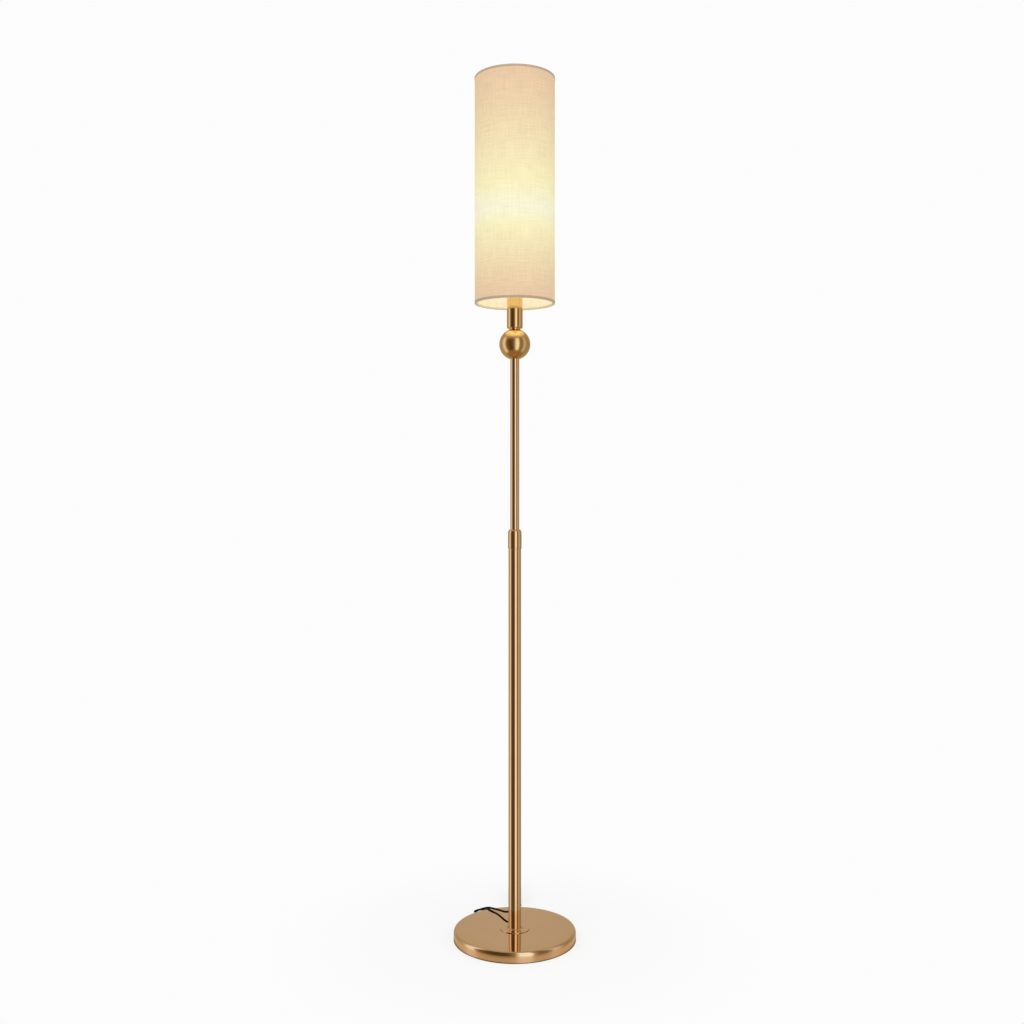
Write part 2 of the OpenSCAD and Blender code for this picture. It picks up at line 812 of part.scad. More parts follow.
// The first and last steps are short ones, so that the hank meets the run and the tail squarely
HANK_END = 4 * HANK_LOOPS * HANK_STEPS;
HANK_PATH = [for (step = [0, 0.25, each [1:HANK_END - 1], HANK_END - 0.25, HANK_END])
    hank_point(step)];
// Distance between two short straight stretches, sampled at their ends and middles
function stretch_gap(a, b) =
    min([for (u = [0, 0.5, 1], v = [0, 0.5, 1])
        norm(a[0] + u * (a[1] - a[0]) - b[0] - v * (b[1] - b[0]))]);
HANK_GAP = min([for (i = [0:len(HANK_PATH) - 2], j = [i + 10:1:len(HANK_PATH) - 2])
    stretch_gap([HANK_PATH[i], HANK_PATH[i + 1]], [HANK_PATH[j], HANK_PATH[j + 1]])]) - cord_d;
echo(hank_least_gap = HANK_GAP);
echo(cord_length = path_length(CORD_ROUTE) + path_length(HANK_PATH) + path_length(TAIL_ROUTE));

module cord_run() {
    color(BLACK) swept_tube(CORD_ROUTE, cord_r, 10);
}

module cord_hank() {
    color(BLACK) swept_tube(HANK_PATH, cord_r, 6);
}

module cord_tail() {
    color(BLACK) swept_tube(TAIL_ROUTE, cord_r, 10);
}

module hank_tie() {
    half = HANK_WAIST + cord_r + 0.6;
    floor_t = HANK_Z - cord_r - 2 * fit;
    high = HANK_Z + HANK_PITCH * (HANK_LOOPS - 0.5) + cord_r + 0.3;
    color("#303033") translate([0, HANK_Y + HANK_RUN / 2 + tie_w / 2, 0]) rotate([90, 0, 0])
        linear_extrude(tie_w) difference() {
            translate([-half - tie_t, 0]) square([2 * (half + tie_t), high + tie_t]);
            translate([-half, floor_t]) square([2 * half, high - floor_t]);
        }
}

module plug_relief() {
    color(BLACK) translate(TAIL_END) rotate([-90, 0, 0])
        cylinder(r1 = cord_r + 0.6, r2 = cord_r + 2.2, h = plug_taper);
}

module plug_body() {
    back_w = plug_w * 0.7;
    back_h = plug_h * 0.7;
    color(BLACK) translate(TAIL_END + [0, plug_taper, 0]) hull() {
        for (x = [-1, 1], z = [-1, 1]) {
            translate([x * (back_w / 2 - 3), 0, z * (back_h / 2 - 3)]) rotate([-90, 0, 0])
                cylinder(r = 3, h = 1, $fn = 24);
            translate([x * (plug_w / 2 - 3), 8, z * (plug_h / 2 - 3)]) rotate([-90, 0, 0])
                cylinder(r = 3, h = plug_body_len - 8, $fn = 24);
        }
    }
}

module plug_blades() {
    color(BRASS) translate(TAIL_END + [0, plug_taper + plug_body_len, 0])
        for (side = [-1, 1]) translate([side * blade_gap / 2, blade_len / 2, 0])
            cube([blade_t, blade_len, blade_w], center = true);
}

base_pad();
base_cover();
base_weight();
pole_bolt();
spring_washer();
flat_washer();
foot_flange();
pole_foot_plug();
lower_tube();
cord_outlet();
lead_bend();
lead_in_pole();
tube_ferrule();
collet();
lock_collar();
guide_bush();
upper_tube();
tube_top_insert();
ball();
ball_spacer();
neck_sleeve();
neck_washer();
neck_nut();
neck_cap();
head_nipple();
lead_in_head();
holder_cap();
holder_body();
holder_insert();
screw_shell();
centre_contact();
terminal_screws();
push_bar();
shade_ring_lower();
shade_ring_upper();
bulb_glass();
bulb_screw_cap();
shade_panel();
top_wire_ring();
shade_frame();
top_hem();
bottom_hem();
cord_run();
cord_hank();
cord_tail();
hank_tie();
plug_body();
plug_relief();
plug_blades();
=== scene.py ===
"""Column floor lamp with a telescopic brass pole, lit, on a pale studio floor."""

import math

import bmesh
import bpy
from mathutils import Matrix, Vector


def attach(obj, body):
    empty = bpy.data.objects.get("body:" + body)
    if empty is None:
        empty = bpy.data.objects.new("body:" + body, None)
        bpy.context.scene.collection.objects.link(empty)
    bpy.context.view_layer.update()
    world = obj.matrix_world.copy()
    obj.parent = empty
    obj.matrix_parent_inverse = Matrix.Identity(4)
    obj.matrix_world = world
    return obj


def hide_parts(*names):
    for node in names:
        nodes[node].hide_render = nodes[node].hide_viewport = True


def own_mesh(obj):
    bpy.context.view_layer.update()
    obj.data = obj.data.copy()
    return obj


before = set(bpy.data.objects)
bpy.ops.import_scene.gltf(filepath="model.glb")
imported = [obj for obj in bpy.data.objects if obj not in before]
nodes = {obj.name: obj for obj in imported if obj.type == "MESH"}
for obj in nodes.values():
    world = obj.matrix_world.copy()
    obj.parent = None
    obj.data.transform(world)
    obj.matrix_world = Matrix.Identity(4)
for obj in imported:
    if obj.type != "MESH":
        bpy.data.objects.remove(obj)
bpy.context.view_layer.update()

MM = 0.001

# ---- camera: level, at the photograph's distance and height ----

EYE_DISTANCE = 2.177
EYE_HEIGHT = 0.85
FOCAL_PIXELS = 1146.0
FRAME_PIXELS = 1024.0
AXIS_COLUMN = 514.8  # where the photograph has the lamp's axis
HORIZON_ROW = 492.0
SENSOR_WIDTH = 36.0


def place_camera():
    """Level camera in front of the lamp; a small shift puts axis and horizon where the photograph does."""
    data = bpy.data.cameras.new("studio_camera")
    data.sensor_width = SENSOR_WIDTH
    data.lens = SENSOR_WIDTH * FOCAL_PIXELS / FRAME_PIXELS
    data.shift_x = (FRAME_PIXELS / 2 - AXIS_COLUMN) / FRAME_PIXELS
    data.shift_y = (HORIZON_ROW - FRAME_PIXELS / 2) / FRAME_PIXELS
    data.clip_start = 0.05
    camera = bpy.data.objects.new("studio_camera", data)
    camera.location = (0.0, -EYE_DISTANCE, EYE_HEIGHT)
    camera.rotation_euler = (math.radians(90), 0, 0)
    bpy.context.scene.collection.objects.link(camera)
    bpy.context.scene.camera = camera


place_camera()

# ---- cord: the route is the one the solids hold, in millimetres ----

CORD_DIAMETER = 3.8
CORD_ROUTE = [
    (0, 32, 37.5), (0, 37, 37.3), (-2.5, 43, 36.2), (-7, 50, 34.2), (-12.5, 56, 32), (-19, 62, 30),
    (-26.5, 73, 27.9), (-33, 83, 26.2), (-39.5, 90.5, 25.2), (-45.5, 96.5, 24.5), (-51, 102, 23.4),
    (-57, 108, 20.8), (-63, 114, 17.4), (-69, 120, 13.5), (-74.5, 125.5, 9.2), (-79, 131, 5.2),
    (-81, 137.5, 2.6), (-79, 144, 2), (-73, 149, 2), (-64, 151, 2), (-50, 150.5, 2),
    (-35, 150, 2), (-20, 150, 2), (-7, 150.5, 2), (3, 154, 2.05), (9, 161, 2.15),
    (11.4, 171, 2.35), (11.4, 182, 2.4),
]
HANK_Y = 182.0  # where the hank starts, behind the base
HANK_Z = 2.4  # middle of its lowest turn
HANK_RUN = 68.4  # a straight run: 18 cord diameters
HANK_RADIUS = 11.4  # a fold: 3 cord diameters
HANK_WAIST = 2.25  # half the distance between the runs under the strap
HANK_PITCH = 4.3  # climb of one turn
HANK_LOOPS = 7
HANK_STEPS = 8  # points on each of a turn's four legs
TAIL_ROUTE = [
    (11.4, 182, 32.5), (11.4, 184, 32.5), (11.1, 188, 32.7), (10.1, 192, 33.3), (8.5, 196, 34.2),
    (6.7, 200, 35.35), (4.7, 204, 36.55), (2.9, 208, 37.7), (1.3, 212, 38.6), (0.3, 216, 39.2),
    (0, 219.5, 39.4), (0, 222, 39.4),
]


def hank_point(step):
    """Point on the hank: away on the right, a fold, back on the left while it climbs a turn, a fold."""
    turn, part = divmod(step, 4 * HANK_STEPS)
    leg, along = divmod(part, HANK_STEPS)
    t = along / HANK_STEPS
    spread = 0.5 - 0.5 * math.cos(math.pi * abs(2 * t - 1))
    half = HANK_WAIST + (HANK_RADIUS - HANK_WAIST) * spread
    sweep = math.pi * t
    x, y = (
        (half, HANK_RUN * t),
        (HANK_RADIUS * math.cos(sweep), HANK_RUN + HANK_RADIUS * math.sin(sweep)),
        (-half, HANK_RUN * (1 - t)),
        (-HANK_RADIUS * math.cos(sweep), -HANK_RADIUS * math.sin(sweep)),
    )[leg]
    climb = (0, 0, t, 1)[leg]
    return (x, HANK_Y + y, HANK_Z + HANK_PITCH * (turn + climb))


def cord_points():
    """The whole cord's centreline in metres: free stretch, hank, tail to the plug."""
    hank = [hank_point(step) for step in range(1, 4 * HANK_LOOPS * HANK_STEPS)]
    return [Vector(p) * MM for p in CORD_ROUTE + hank + TAIL_ROUTE]


def build_cord():
    """Round cord along its centreline, and that line's length."""
    points = cord_points()
    data = bpy.data.curves.new("mains_cord", "CURVE")
    data.dimensions = "3D"
    data.bevel_depth = CORD_DIAMETER / 2 * MM
    data.bevel_resolution = 4
    data.resolution_u = 5
    data.use_fill_caps = True
    spline = data.splines.new("BEZIER")
    spline.bezier_points.add(len(points) - 1)
    for knot, point in zip(spline.bezier_points, points):
        knot.co = point
        knot.handle_left_type = knot.handle_right_type = "AUTO"
    cord = bpy.data.objects.new("mains_cord", data)
    bpy.context.scene.collection.objects.link(cord)
    length = sum((b - a).length for a, b in zip(points, points[1:]))
    return cord, length


# ---- materials; sizes of patterns in millimetres ----


def linear(hex_colour):
    """sRGB hex to linear RGBA."""
    parts = [int(hex_colour[i : i + 2], 16) / 255 for i in (1, 3, 5)]
    return tuple(c / 12.92 if c <= 0.04045 else ((c + 0.055) / 1.055) ** 2.4 for c in parts) + (1.0,)


def toned(hex_colour, *shares):
    """Darker tone of a colour, by what is left of its red, green and blue."""
    return tuple(c * share for c, share in zip(linear(hex_colour), shares)) + (1.0,)


def fill_sockets(node, sockets):
    """Gives a node's inputs their values, or links them to an output or a node's first output in use."""
    for key, value in sockets.items():
        if isinstance(value, bpy.types.Node):
            value = next(output for output in value.outputs if output.enabled)
        if isinstance(value, bpy.types.NodeSocket):
            node.id_data.links.new(value, node.inputs[key])
        else:
            node.inputs[key].default_value = value


def add_node(tree, kind, sockets=None, **settings):
    """Adds a node of any kind with its settings and links."""
    node = tree.nodes.new("ShaderNode" + kind)
    for key, value in settings.items():
        setattr(node, key, value)
    fill_sockets(node, sockets or {})
    return node


def new_material(name):
    """Node material with its tree, its Principled shader and the place on the piece in metres."""
    material = bpy.data.materials.new(name)
    material.use_nodes = True
    tree = material.node_tree
    return material, tree, tree.nodes["Principled BSDF"], add_node(tree, "TexCoord").outputs["Object"]


NOISE_SPREAD = {"From Min": 0.3, "From Max": 0.7}  # what noise really covers
# Sizes of the faint clouds in the tone of metal, of moulded parts and of glass
BRASS_CLOUD, MOULDED_CLOUD, GLASS_CLOUD = 22.22, 16.667, 33.333


def brass(name, colour, roughness, spacing, relief):
    """Brass under clear lacquer: a warm mirror with a faint cloudy tone and fine lines round the axis."""
    material, tree, shader, place = new_material(name)
    x, y, z = add_node(tree, "SeparateXYZ", {0: place}).outputs
    level = add_node(tree, "CombineXYZ", {"X": x, "Y": y})
    radius = add_node(tree, "VectorMath", {0: level}, operation="LENGTH")
    turn = add_node(tree, "Math", {0: x, 1: y}, operation="ARCTAN2")
    round_axis = add_node(tree, "CombineXYZ", {"X": radius, "Y": z, "Z": turn})
    finer = (1000 / spacing, 1000 / spacing, 1.0)
    stretched = add_node(tree, "VectorMath", {0: round_axis, 1: finer}, operation="MULTIPLY")
    lines = add_node(tree, "TexNoise", {"Vector": stretched, "Scale": 1.0, "Detail": 2.0})
    cloud = add_node(tree, "TexNoise", {"Vector": place, "Scale": 1000 / BRASS_CLOUD, "Detail": 3.0})
    tarnish = toned(colour, 0.95, 0.93, 0.88)
    tone = add_node(tree, "Mix", {0: cloud, 6: linear(colour), 7: tarnish}, data_type="RGBA")
    both = add_node(tree, "Mix", {0: 0.5, 2: lines, 3: cloud})
    limits = {"To Min": roughness * 0.75, "To Max": roughness * 1.3}
    rough = add_node(tree, "MapRange", {"Value": both, **NOISE_SPREAD, **limits})
    fine = add_node(tree, "Bump", {"Height": lines, "Strength": relief, "Distance": 0.02 * MM})
    fill_sockets(shader, {"Base Color": tone, "Metallic": 1.0, "Roughness": rough, "Normal": fine})
    return material


def plain(name, colour, roughness, metallic=0.0, grain=0.6, relief=0.2, specular=0.5):
    """Moulded, cast, pressed or enamelled surface; grain is the size of its fine texture."""
    material, tree, shader, place = new_material(name)
    speckle = add_node(tree, "TexNoise", {"Vector": place, "Scale": 1000 / grain, "Detail": 4.0})
    cloud = add_node(tree, "TexNoise", {"Vector": place, "Scale": 1000 / MOULDED_CLOUD, "Detail": 3.0})
    both = add_node(tree, "Mix", {0: 0.5, 2: speckle, 3: cloud})
    worn = toned(colour, 0.82, 0.82, 0.82)
    tone = add_node(tree, "Mix", {0: both, 6: linear(colour), 7: worn}, data_type="RGBA")
    limits = {"To Min": roughness * 0.88, "To Max": min(1.0, roughness * 1.12)}
    rough = add_node(tree, "MapRange", {"Value": both, **NOISE_SPREAD, **limits})
    depth = 0.2 * grain * MM
    fine = add_node(tree, "Bump", {"Height": speckle, "Strength": relief, "Distance": depth})
    fill_sockets(shader, {"Base Color": tone, "Roughness": rough, "Normal": fine})
    fill_sockets(shader, {"Metallic": metallic, "Specular IOR Level": specular})
    return material


SHADE_RADIUS = 76.0
LIGHT_HEIGHT = 1372.0  # the shade is brightest here, a little under the bulb's middle
SHADED_BELOW = 1.6  # the lampholder keeps light from the lower part
HOT_REACH = 60.0  # the band beside the bulb ends this far above and below it
THREAD_SPACING = 1.6  # a linen's 0.6 mm is too fine for the picture, so it is drawn coarser
THREAD_SHARE = 0.06  # how much the single threads show beside the slubs
SLUB_WIDTH, SLUB_LENGTH = 2.381, 38.46  # thick places in the yarn, drawn coarser in the same way


def bulb_light(tree, z, reach):
    """Share of the bulb's light on the shade at a height, and the narrow hot band beside the bulb."""
    above = add_node(tree, "Math", {0: z, 1: LIGHT_HEIGHT * MM}, operation="SUBTRACT")
    below = add_node(tree, "Math", {0: above, 1: -SHADED_BELOW}, operation="MULTIPLY")
    away = add_node(tree, "Math", {0: above, 1: below}, operation="MAXIMUM")
    ratio = add_node(tree, "Math", {0: away, 1: reach * MM}, operation="DIVIDE")
    spread = add_node(tree, "Math", {0: ratio, 1: ratio, 2: 1.0}, operation="MULTIPLY_ADD")
    light = add_node(tree, "Math", {0: 1.0, 1: spread}, operation="DIVIDE")
    fade = {"Value": away, "From Min": HOT_REACH * MM, "From Max": 0.0}
    return light, add_node(tree, "MapRange", fade, interpolation_type="SMOOTHSTEP")


def lit_cloth(name, dyed, dim, bright, hot_tint, reach=200.0, strength=1.0):
    """Plain weave with slubs and the bulb behind it: warm at the rims, almost white beside the bulb."""
    material, tree, shader, place = new_material(name)
    x, y, z = add_node(tree, "SeparateXYZ", {0: place}).outputs
    front = add_node(tree, "Math", {0: y, 1: -1.0}, operation="MULTIPLY")
    turn = add_node(tree, "Math", {0: x, 1: front}, operation="ARCTAN2")
    arc = add_node(tree, "Math", {0: turn, 1: SHADE_RADIUS * MM}, operation="MULTIPLY")
    threads = []
    for along in (arc, z):
        phase = add_node(
            tree, "Math", {0: along, 1: 2 * math.pi / (THREAD_SPACING * MM)}, operation="MULTIPLY"
        )
        threads.append(add_node(tree, "Math", {0: phase}, operation="SINE"))
    weave = add_node(tree, "Math", {0: threads[0], 1: threads[1]}, operation="MULTIPLY")
    unrolled = add_node(tree, "CombineXYZ", {"X": arc, "Y": z})
    slubs = []
    for wide, tall in ((SLUB_WIDTH, SLUB_LENGTH), (SLUB_LENGTH, SLUB_WIDTH)):
        finer = (1000 / wide, 1000 / tall, 1.0)
        stretched = add_node(tree, "VectorMath", {0: unrolled, 1: finer}, operation="MULTIPLY")
        slubs.append(add_node(tree, "TexNoise", {"Vector": stretched, "Scale": 1.0, "Detail": 2.0}))
    uneven = add_node(tree, "Mix", {0: 0.5, 2: slubs[0], 3: slubs[1]})
    thick = add_node(tree, "Math", {0: weave, 1: THREAD_SHARE, 2: uneven}, operation="MULTIPLY_ADD")
    darker = toned(dyed, 0.86, 0.86, 0.86)
    yarn = add_node(tree, "Mix", {0: thick, 6: linear(dyed), 7: darker}, data_type="RGBA")
    light, hot = bulb_light(tree, z, reach)
    warm = add_node(tree, "Mix", {0: light, 6: linear(dim), 7: linear(bright)}, data_type="RGBA")
    hotter = add_node(tree, "Mix", {0: hot, 6: warm, 7: linear(hot_tint)}, data_type="RGBA")
    veil = add_node(tree, "MapRange", {"Value": thick, **NOISE_SPREAD, "To Min": 1.09, "To Max": 0.87})
    shining = add_node(tree, "VectorMath", {0: hotter, "Scale": veil}, operation="SCALE")
    relief = add_node(tree, "Bump", {"Height": thick, "Strength": 0.5, "Distance": 0.2 * MM})
    fill_sockets(shader, {"Base Color": yarn, "Roughness": 0.92, "Normal": relief})
    fill_sockets(shader, {"Sheen Weight": 0.3, "Sheen Roughness": 0.6, "Sheen Tint": linear("#fff4be")})
    fill_sockets(shader, {"Emission Color": shining, "Emission Strength": strength})
    return material


def glowing(name, colour, hotter, strength):
    """Opal glass with the light on, a little uneven in tone."""
    material, tree, shader, place = new_material(name)
    cloud = add_node(tree, "TexNoise", {"Vector": place, "Scale": 1000 / GLASS_CLOUD, "Detail": 3.0})
    tone = add_node(tree, "Mix", {0: cloud, 6: linear(colour), 7: linear(hotter)}, data_type="RGBA")
    fill_sockets(shader, {"Roughness": 0.25, "Emission Color": tone, "Emission Strength": strength})
    return material


# Polished, lacquered brass: clear reflections, lighter than gold
POLISHED = brass("polished_brass", "#f3d1ab", 0.07, 0.4, 0.06)
# Spun cover, polished to a mirror: the pole is seen in it
MIRROR = brass("mirror_brass", "#f3d1ab", 0.045, 0.6, 0.04)
# Satin brass, brushed round the axis: reflections stay but soften
SATIN = brass("satin_brass", "#f2cd95", 0.22, 0.3, 0.25)
# Polished brass of the sleeve, spacer and cap, warmer in tone than the tubes: painted warm light from the lit
# shade above them
SHADE_LIT_BRASS = brass("brass_with_painted_shade_light", "#efcc95", 0.07, 0.4, 0.06)
# Pressed brass strip: dull gold with soft reflections
CONTACT = brass("contact_brass", "#dbbb8e", 0.25, 0.5, 0.2)
# Zinc-plated steel: even grey metal with a soft shine
STEEL = plain("zinc_plated_steel", "#b4b5b5", 0.35, metallic=1.0, grain=0.4)
# Rough casting, painted: dark and almost without shine
IRON = plain("cast_iron", "#2b2b2c", 0.8, grain=1.5, relief=0.6)
# Pressed wool felt: black, quite matt, with a short nap
FELT = plain("wool_felt", "#201f1e", 0.95, grain=0.8, relief=0.9)
# Turned natural nylon: milky, with a waxy shine
NYLON = plain("turned_nylon", "#d8d4c8", 0.45)
# Smooth PVC flex: black with a trace of brown, and only a dull highlight
FLEX = plain("black_pvc_flex", "#140903", 0.6, grain=0.5, relief=0.1, specular=0.15)
# Soft PVC moulding: black, with a clearer highlight than the flex
RUBBER = plain("moulded_pvc", "#121212", 0.5, grain=0.5, relief=0.25)
# Moulded thermoset: off-white and smooth
THERMOSET = plain("moulded_thermoset", "#e6e1d5", 0.4)
# Unglazed porcelain: white and slightly grainy
PORCELAIN = plain("porcelain", "#f0ede6", 0.5, grain=0.8)
# Woven nylon strap: black and matt, with a coarse relief
STRAP = plain("woven_nylon_strap", "#1b1b1d", 0.85, grain=0.9, relief=0.8)
# Enamelled wire: pale and smooth
WIRE = plain("enamelled_wire", "#e9e3d4", 0.4)
# Linen laminated on a clear stiff liner: warm and matt, almost white beside the bulb
LINEN = lit_cloth("lit_linen", "#897864", "#c68d7b", "#eae6b4", "#e7e8ca")
# The liner's inner face, which the bulb lights directly: paler and brighter
LINING = lit_cloth(
    "lit_liner", "#a8967c", "#b6b5a4", "#f2e1aa", "#fff4d3", reach=120.0, strength=1.3
)
# Hem tape: denser than the linen, so the light hardly shows through it
TAPE = lit_cloth("hem_tape_outside", "#a89688", "#6f5d4b", "#aa957c", "#aa957c")
# The same tape inside the shade, in the bulb's light
TAPE_INSIDE = lit_cloth("hem_tape_inside", "#cdbb9d", "#aaa289", "#e7daaa", "#e7daaa", reach=120.0)
# Opal glass, lit from within: white with a warm edge
GLOW = glowing("lit_opal_glass", "#ffe6b8", "#fff1d2", 2.2)

FINISHES = {
    POLISHED: "foot_flange lower_tube tube_ferrule lock_collar upper_tube",
    SHADE_LIT_BRASS: "ball_spacer neck_sleeve neck_cap",
    MIRROR: "base_cover",
    SATIN: "ball",
    CONTACT: "screw_shell centre_contact terminal_screws plug_blades",
    STEEL: "pole_bolt spring_washer flat_washer pole_foot_plug tube_top_insert neck_washer neck_nut "
    "head_nipple bulb_screw_cap",
    IRON: "base_weight",
    FELT: "base_pad",
    NYLON: "collet guide_bush",
    FLEX: "lead_bend lead_in_pole lead_in_head cord_run cord_hank cord_tail",
    RUBBER: "cord_outlet push_bar hank_tie plug_body plug_relief",
    THERMOSET: "holder_cap holder_body shade_ring_lower shade_ring_upper",
    PORCELAIN: "holder_insert",
    WIRE: "top_wire_ring shade_frame",
    TAPE: "top_hem bottom_hem",
    LINEN: "shade_panel",
    GLOW: "bulb_glass",
}
for finish, names in FINISHES.items():
    for name in names.split():
        slots = nodes[name].data.materials
        slots.clear()
        slots.append(finish)

# ---- shade: cloth outside, lining inside, tape folded over both rims; millimetres ----

SHADE_FOOT, SHADE_TOP = 1207.0, 1636.0
CLOTH_THICKNESS = 0.8
TAPE_THICKNESS = 0.4
TAPE_RISE = 0.45  # the tape stands this far outside the cloth
TAPE_RETURN = 71.2  # radius to which it is folded in round the wire
TAPE_INNER_SIDE = 75.9  # tape inside this radius faces the bulb
LAP_RISE = 0.35  # the cloth's lap at the back is this much thicker
LAP_HALF = 5.2
LAP_MARGIN = 3.2  # the lap ends under the tape
ROUND_STEPS = 180
SHARP_ANGLE = 40  # in degrees; a flatter edge is shaded smooth
NEAR = 0.01  # tolerance for finding the points of an outline again


def finished(mesh, name, body, slot, *materials):
    """Turns a bmesh into an object at the origin that rides on a body and takes the given materials; the slot
    is not used.
    """
    bmesh.ops.remove_doubles(mesh, verts=mesh.verts, dist=1e-6)
    bmesh.ops.recalc_face_normals(mesh, faces=mesh.faces)
    data = bpy.data.meshes.new(name)
    mesh.to_mesh(data)
    mesh.free()
    data.shade_smooth()
    data.set_sharp_from_angle(angle=math.radians(SHARP_ANGLE))
    for material in materials:
        data.materials.append(material)
    piece = bpy.data.objects.new(name, data)
    bpy.context.scene.collection.objects.link(piece)
    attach(piece, body)
    return piece


def turned(outline, closed=True, steps=ROUND_STEPS):
    """Spins an outline of (radius, height) points round the lamp's axis."""
    mesh = bmesh.new()
    verts = [mesh.verts.new((radius * MM, 0.0, height * MM)) for radius, height in outline]
    pairs = list(zip(verts, verts[1:] + verts[:1]))
    edges = [mesh.edges.new(pair) for pair in (pairs if closed else pairs[:-1])]
    bmesh.ops.spin(
        mesh, geom=verts + edges, cent=(0, 0, 0), axis=(0, 0, 1), steps=steps, angle=2 * math.pi,
        use_merge=True,
    )
    return mesh


def line_inside(mesh, radius):
    """Gives the faces inside a radius the piece's second material."""
    for face in mesh.faces:
        face.material_index = int(face.calc_center_median().xy.length < radius * MM)


def build_shade():
    """Rolled cloth panel with its upright lap at the back, lined inside."""
    outer, inner = SHADE_RADIUS, SHADE_RADIUS - CLOTH_THICKNESS
    low, high = SHADE_FOOT + TAPE_THICKNESS, SHADE_TOP - TAPE_THICKNESS
    lap_low, lap_high = SHADE_FOOT + LAP_MARGIN, SHADE_TOP - LAP_MARGIN
    outline = [(outer, low), (outer, lap_low), (outer, lap_high), (outer, high), (inner, high), (inner, low)]
    mesh = turned(outline)
    for vert in mesh.verts:
        x, y, height = vert.co / MM
        at_back = y > 0 and abs(x) < LAP_HALF and lap_low - NEAR < height < lap_high + NEAR
        if at_back and math.hypot(x, y) > outer - NEAR:
            vert.co.xy *= 1 + LAP_RISE / outer
    line_inside(mesh, (outer + inner) / 2)
    shade = finished(mesh, "shade_cloth", "head", "linen", LINEN, LINING)
    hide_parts("shade_panel")


def build_hem(name, node, edge, inwards):
    """Tape folded over one rim; inwards is +1 where the shade is above the edge and -1 where it is below."""
    out, turned_in, thick = SHADE_RADIUS + TAPE_RISE, TAPE_RETURN, TAPE_THICKNESS
    outside, inside = 4.5, 3.9
    outline = [
        (out, outside), (out, 1.1), (out - 0.3, 0.4), (out - 1.0, 0.0), (turned_in + 1.7, 0.0),
        (turned_in + 0.5, 0.5), (turned_in, 1.7), (turned_in, inside), (turned_in + thick, inside),
        (turned_in + thick, 1.8), (turned_in + 0.8, 0.8), (turned_in + 1.8, thick),
        (out - 1.0, thick), (out - thick, 1.0), (out - thick, outside),
    ]
    mesh = turned([(radius, edge + inwards * height) for radius, height in outline])
    line_inside(mesh, TAPE_INNER_SIDE)
    hem = finished(mesh, name, "head", "hem_tape", TAPE, TAPE_INSIDE)
    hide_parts(node)


build_shade()
build_hem("top_hem_tape", "top_hem", SHADE_TOP, -1)
build_hem("bottom_hem_tape", "bottom_hem", SHADE_FOOT, 1)

# ---- metal parts with the shapes of spun and turned work; (radius, height) points in millimetres ----

BASE_RADIUS = 116.0
BASE_TOP = 21.5
BOLT_HOLE = 5.3
COVER_WALL = 1.5
EDGE_ACROSS, EDGE_UP = 4.5, 7.0  # the cover's edge rolls over in a quarter of an ellipse
COLLAR_RADIUS = 13.0
RING_RADIUS, RING_HEIGHT = 24.4, 5.0  # the two threaded rings that hold the shade


def rounding(centre, across, up, start, end, steps=10):
    """Points on an elliptical edge; angles in degrees, 0 outwards and 90 upwards."""
    angles = [math.radians(start + (end - start) * k / steps) for k in range(steps + 1)]
    return [(centre[0] + across * math.cos(a), centre[1] + up * math.sin(a)) for a in angles]


def build_base_cover():
    """Spun cover: the edge rolls over from the flat top, and the rim turns in a little above the floor."""
    edge = (BASE_RADIUS - EDGE_ACROSS, BASE_TOP - EDGE_UP)
    inner = BASE_RADIUS - COVER_WALL
    outline = [(BOLT_HOLE, BASE_TOP), (40.0, BASE_TOP), (80.0, BASE_TOP)]
    outline += rounding(edge, EDGE_ACROSS, EDGE_UP, 90, 0)
    outline += [(BASE_RADIUS, 8.0), (BASE_RADIUS, 3.2)]
    outline += rounding((BASE_RADIUS - 1.2, 2.2), 1.2, 1.2, 0, -90, 5)
    outline += [(inner, 1.4), (inner, edge[1])]
    outline += rounding(edge, EDGE_ACROSS - COVER_WALL, EDGE_UP - COVER_WALL, 0, 90, 8)
    outline += [(BOLT_HOLE, BASE_TOP - COVER_WALL)]
    cover = finished(turned(outline, steps=240), "spun_cover", "stand", "mirror_brass", MIRROR)
    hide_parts("base_cover")


def build_foot_flange():
    """Turned flange: a soft outer edge, a slightly dished face and a raised lip that meets the tube."""
    outline = [(BOLT_HOLE, BASE_TOP), (28.0, BASE_TOP), (28.5, 21.8)]
    outline += rounding((27.5, 22.0), 1.0, 0.9, 0, 90, 5)
    outline += [(26.6, 22.75), (16.4, 22.75), (15.4, 22.95), (14.6, 23.5)]
    outline += rounding((13.3, 23.3), 1.0, 0.9, 10, 170, 7)
    outline += [(12.06, 23.0), (12.06, 22.5), (BOLT_HOLE, 22.5)]
    mesh = turned(outline, steps=120)
    flange = finished(mesh, "turned_flange", "stand", "polished_brass", POLISHED)
    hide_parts("foot_flange")


def build_lock_collar():
    """Turned collar: domed top, tapered bore that closes the collet, and a fine groove above its foot."""
    outline = [(11.12, 742.8), (11.6, 742.3), (12.3, 742.3)]
    outline += rounding((COLLAR_RADIUS - 0.8, 743.1), 0.8, 0.8, -60, 0, 3)
    outline += [(COLLAR_RADIUS, 745.6), (12.75, 745.8), (12.75, 746.2), (COLLAR_RADIUS, 746.4)]
    outline += [(COLLAR_RADIUS, 758.0)]
    outline += rounding((9.2, 771.0), COLLAR_RADIUS - 9.2, 7.8, 0, 84, 12)
    outline += [(8.9, 779.0), (8.6, 778.6), (8.6, 772.4), (9.85, 772.2), (11.12, 760.0)]
    mesh = turned(outline, steps=96)
    collar = finished(mesh, "turned_collar", "collar", "polished_brass", POLISHED)
    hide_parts("lock_collar")


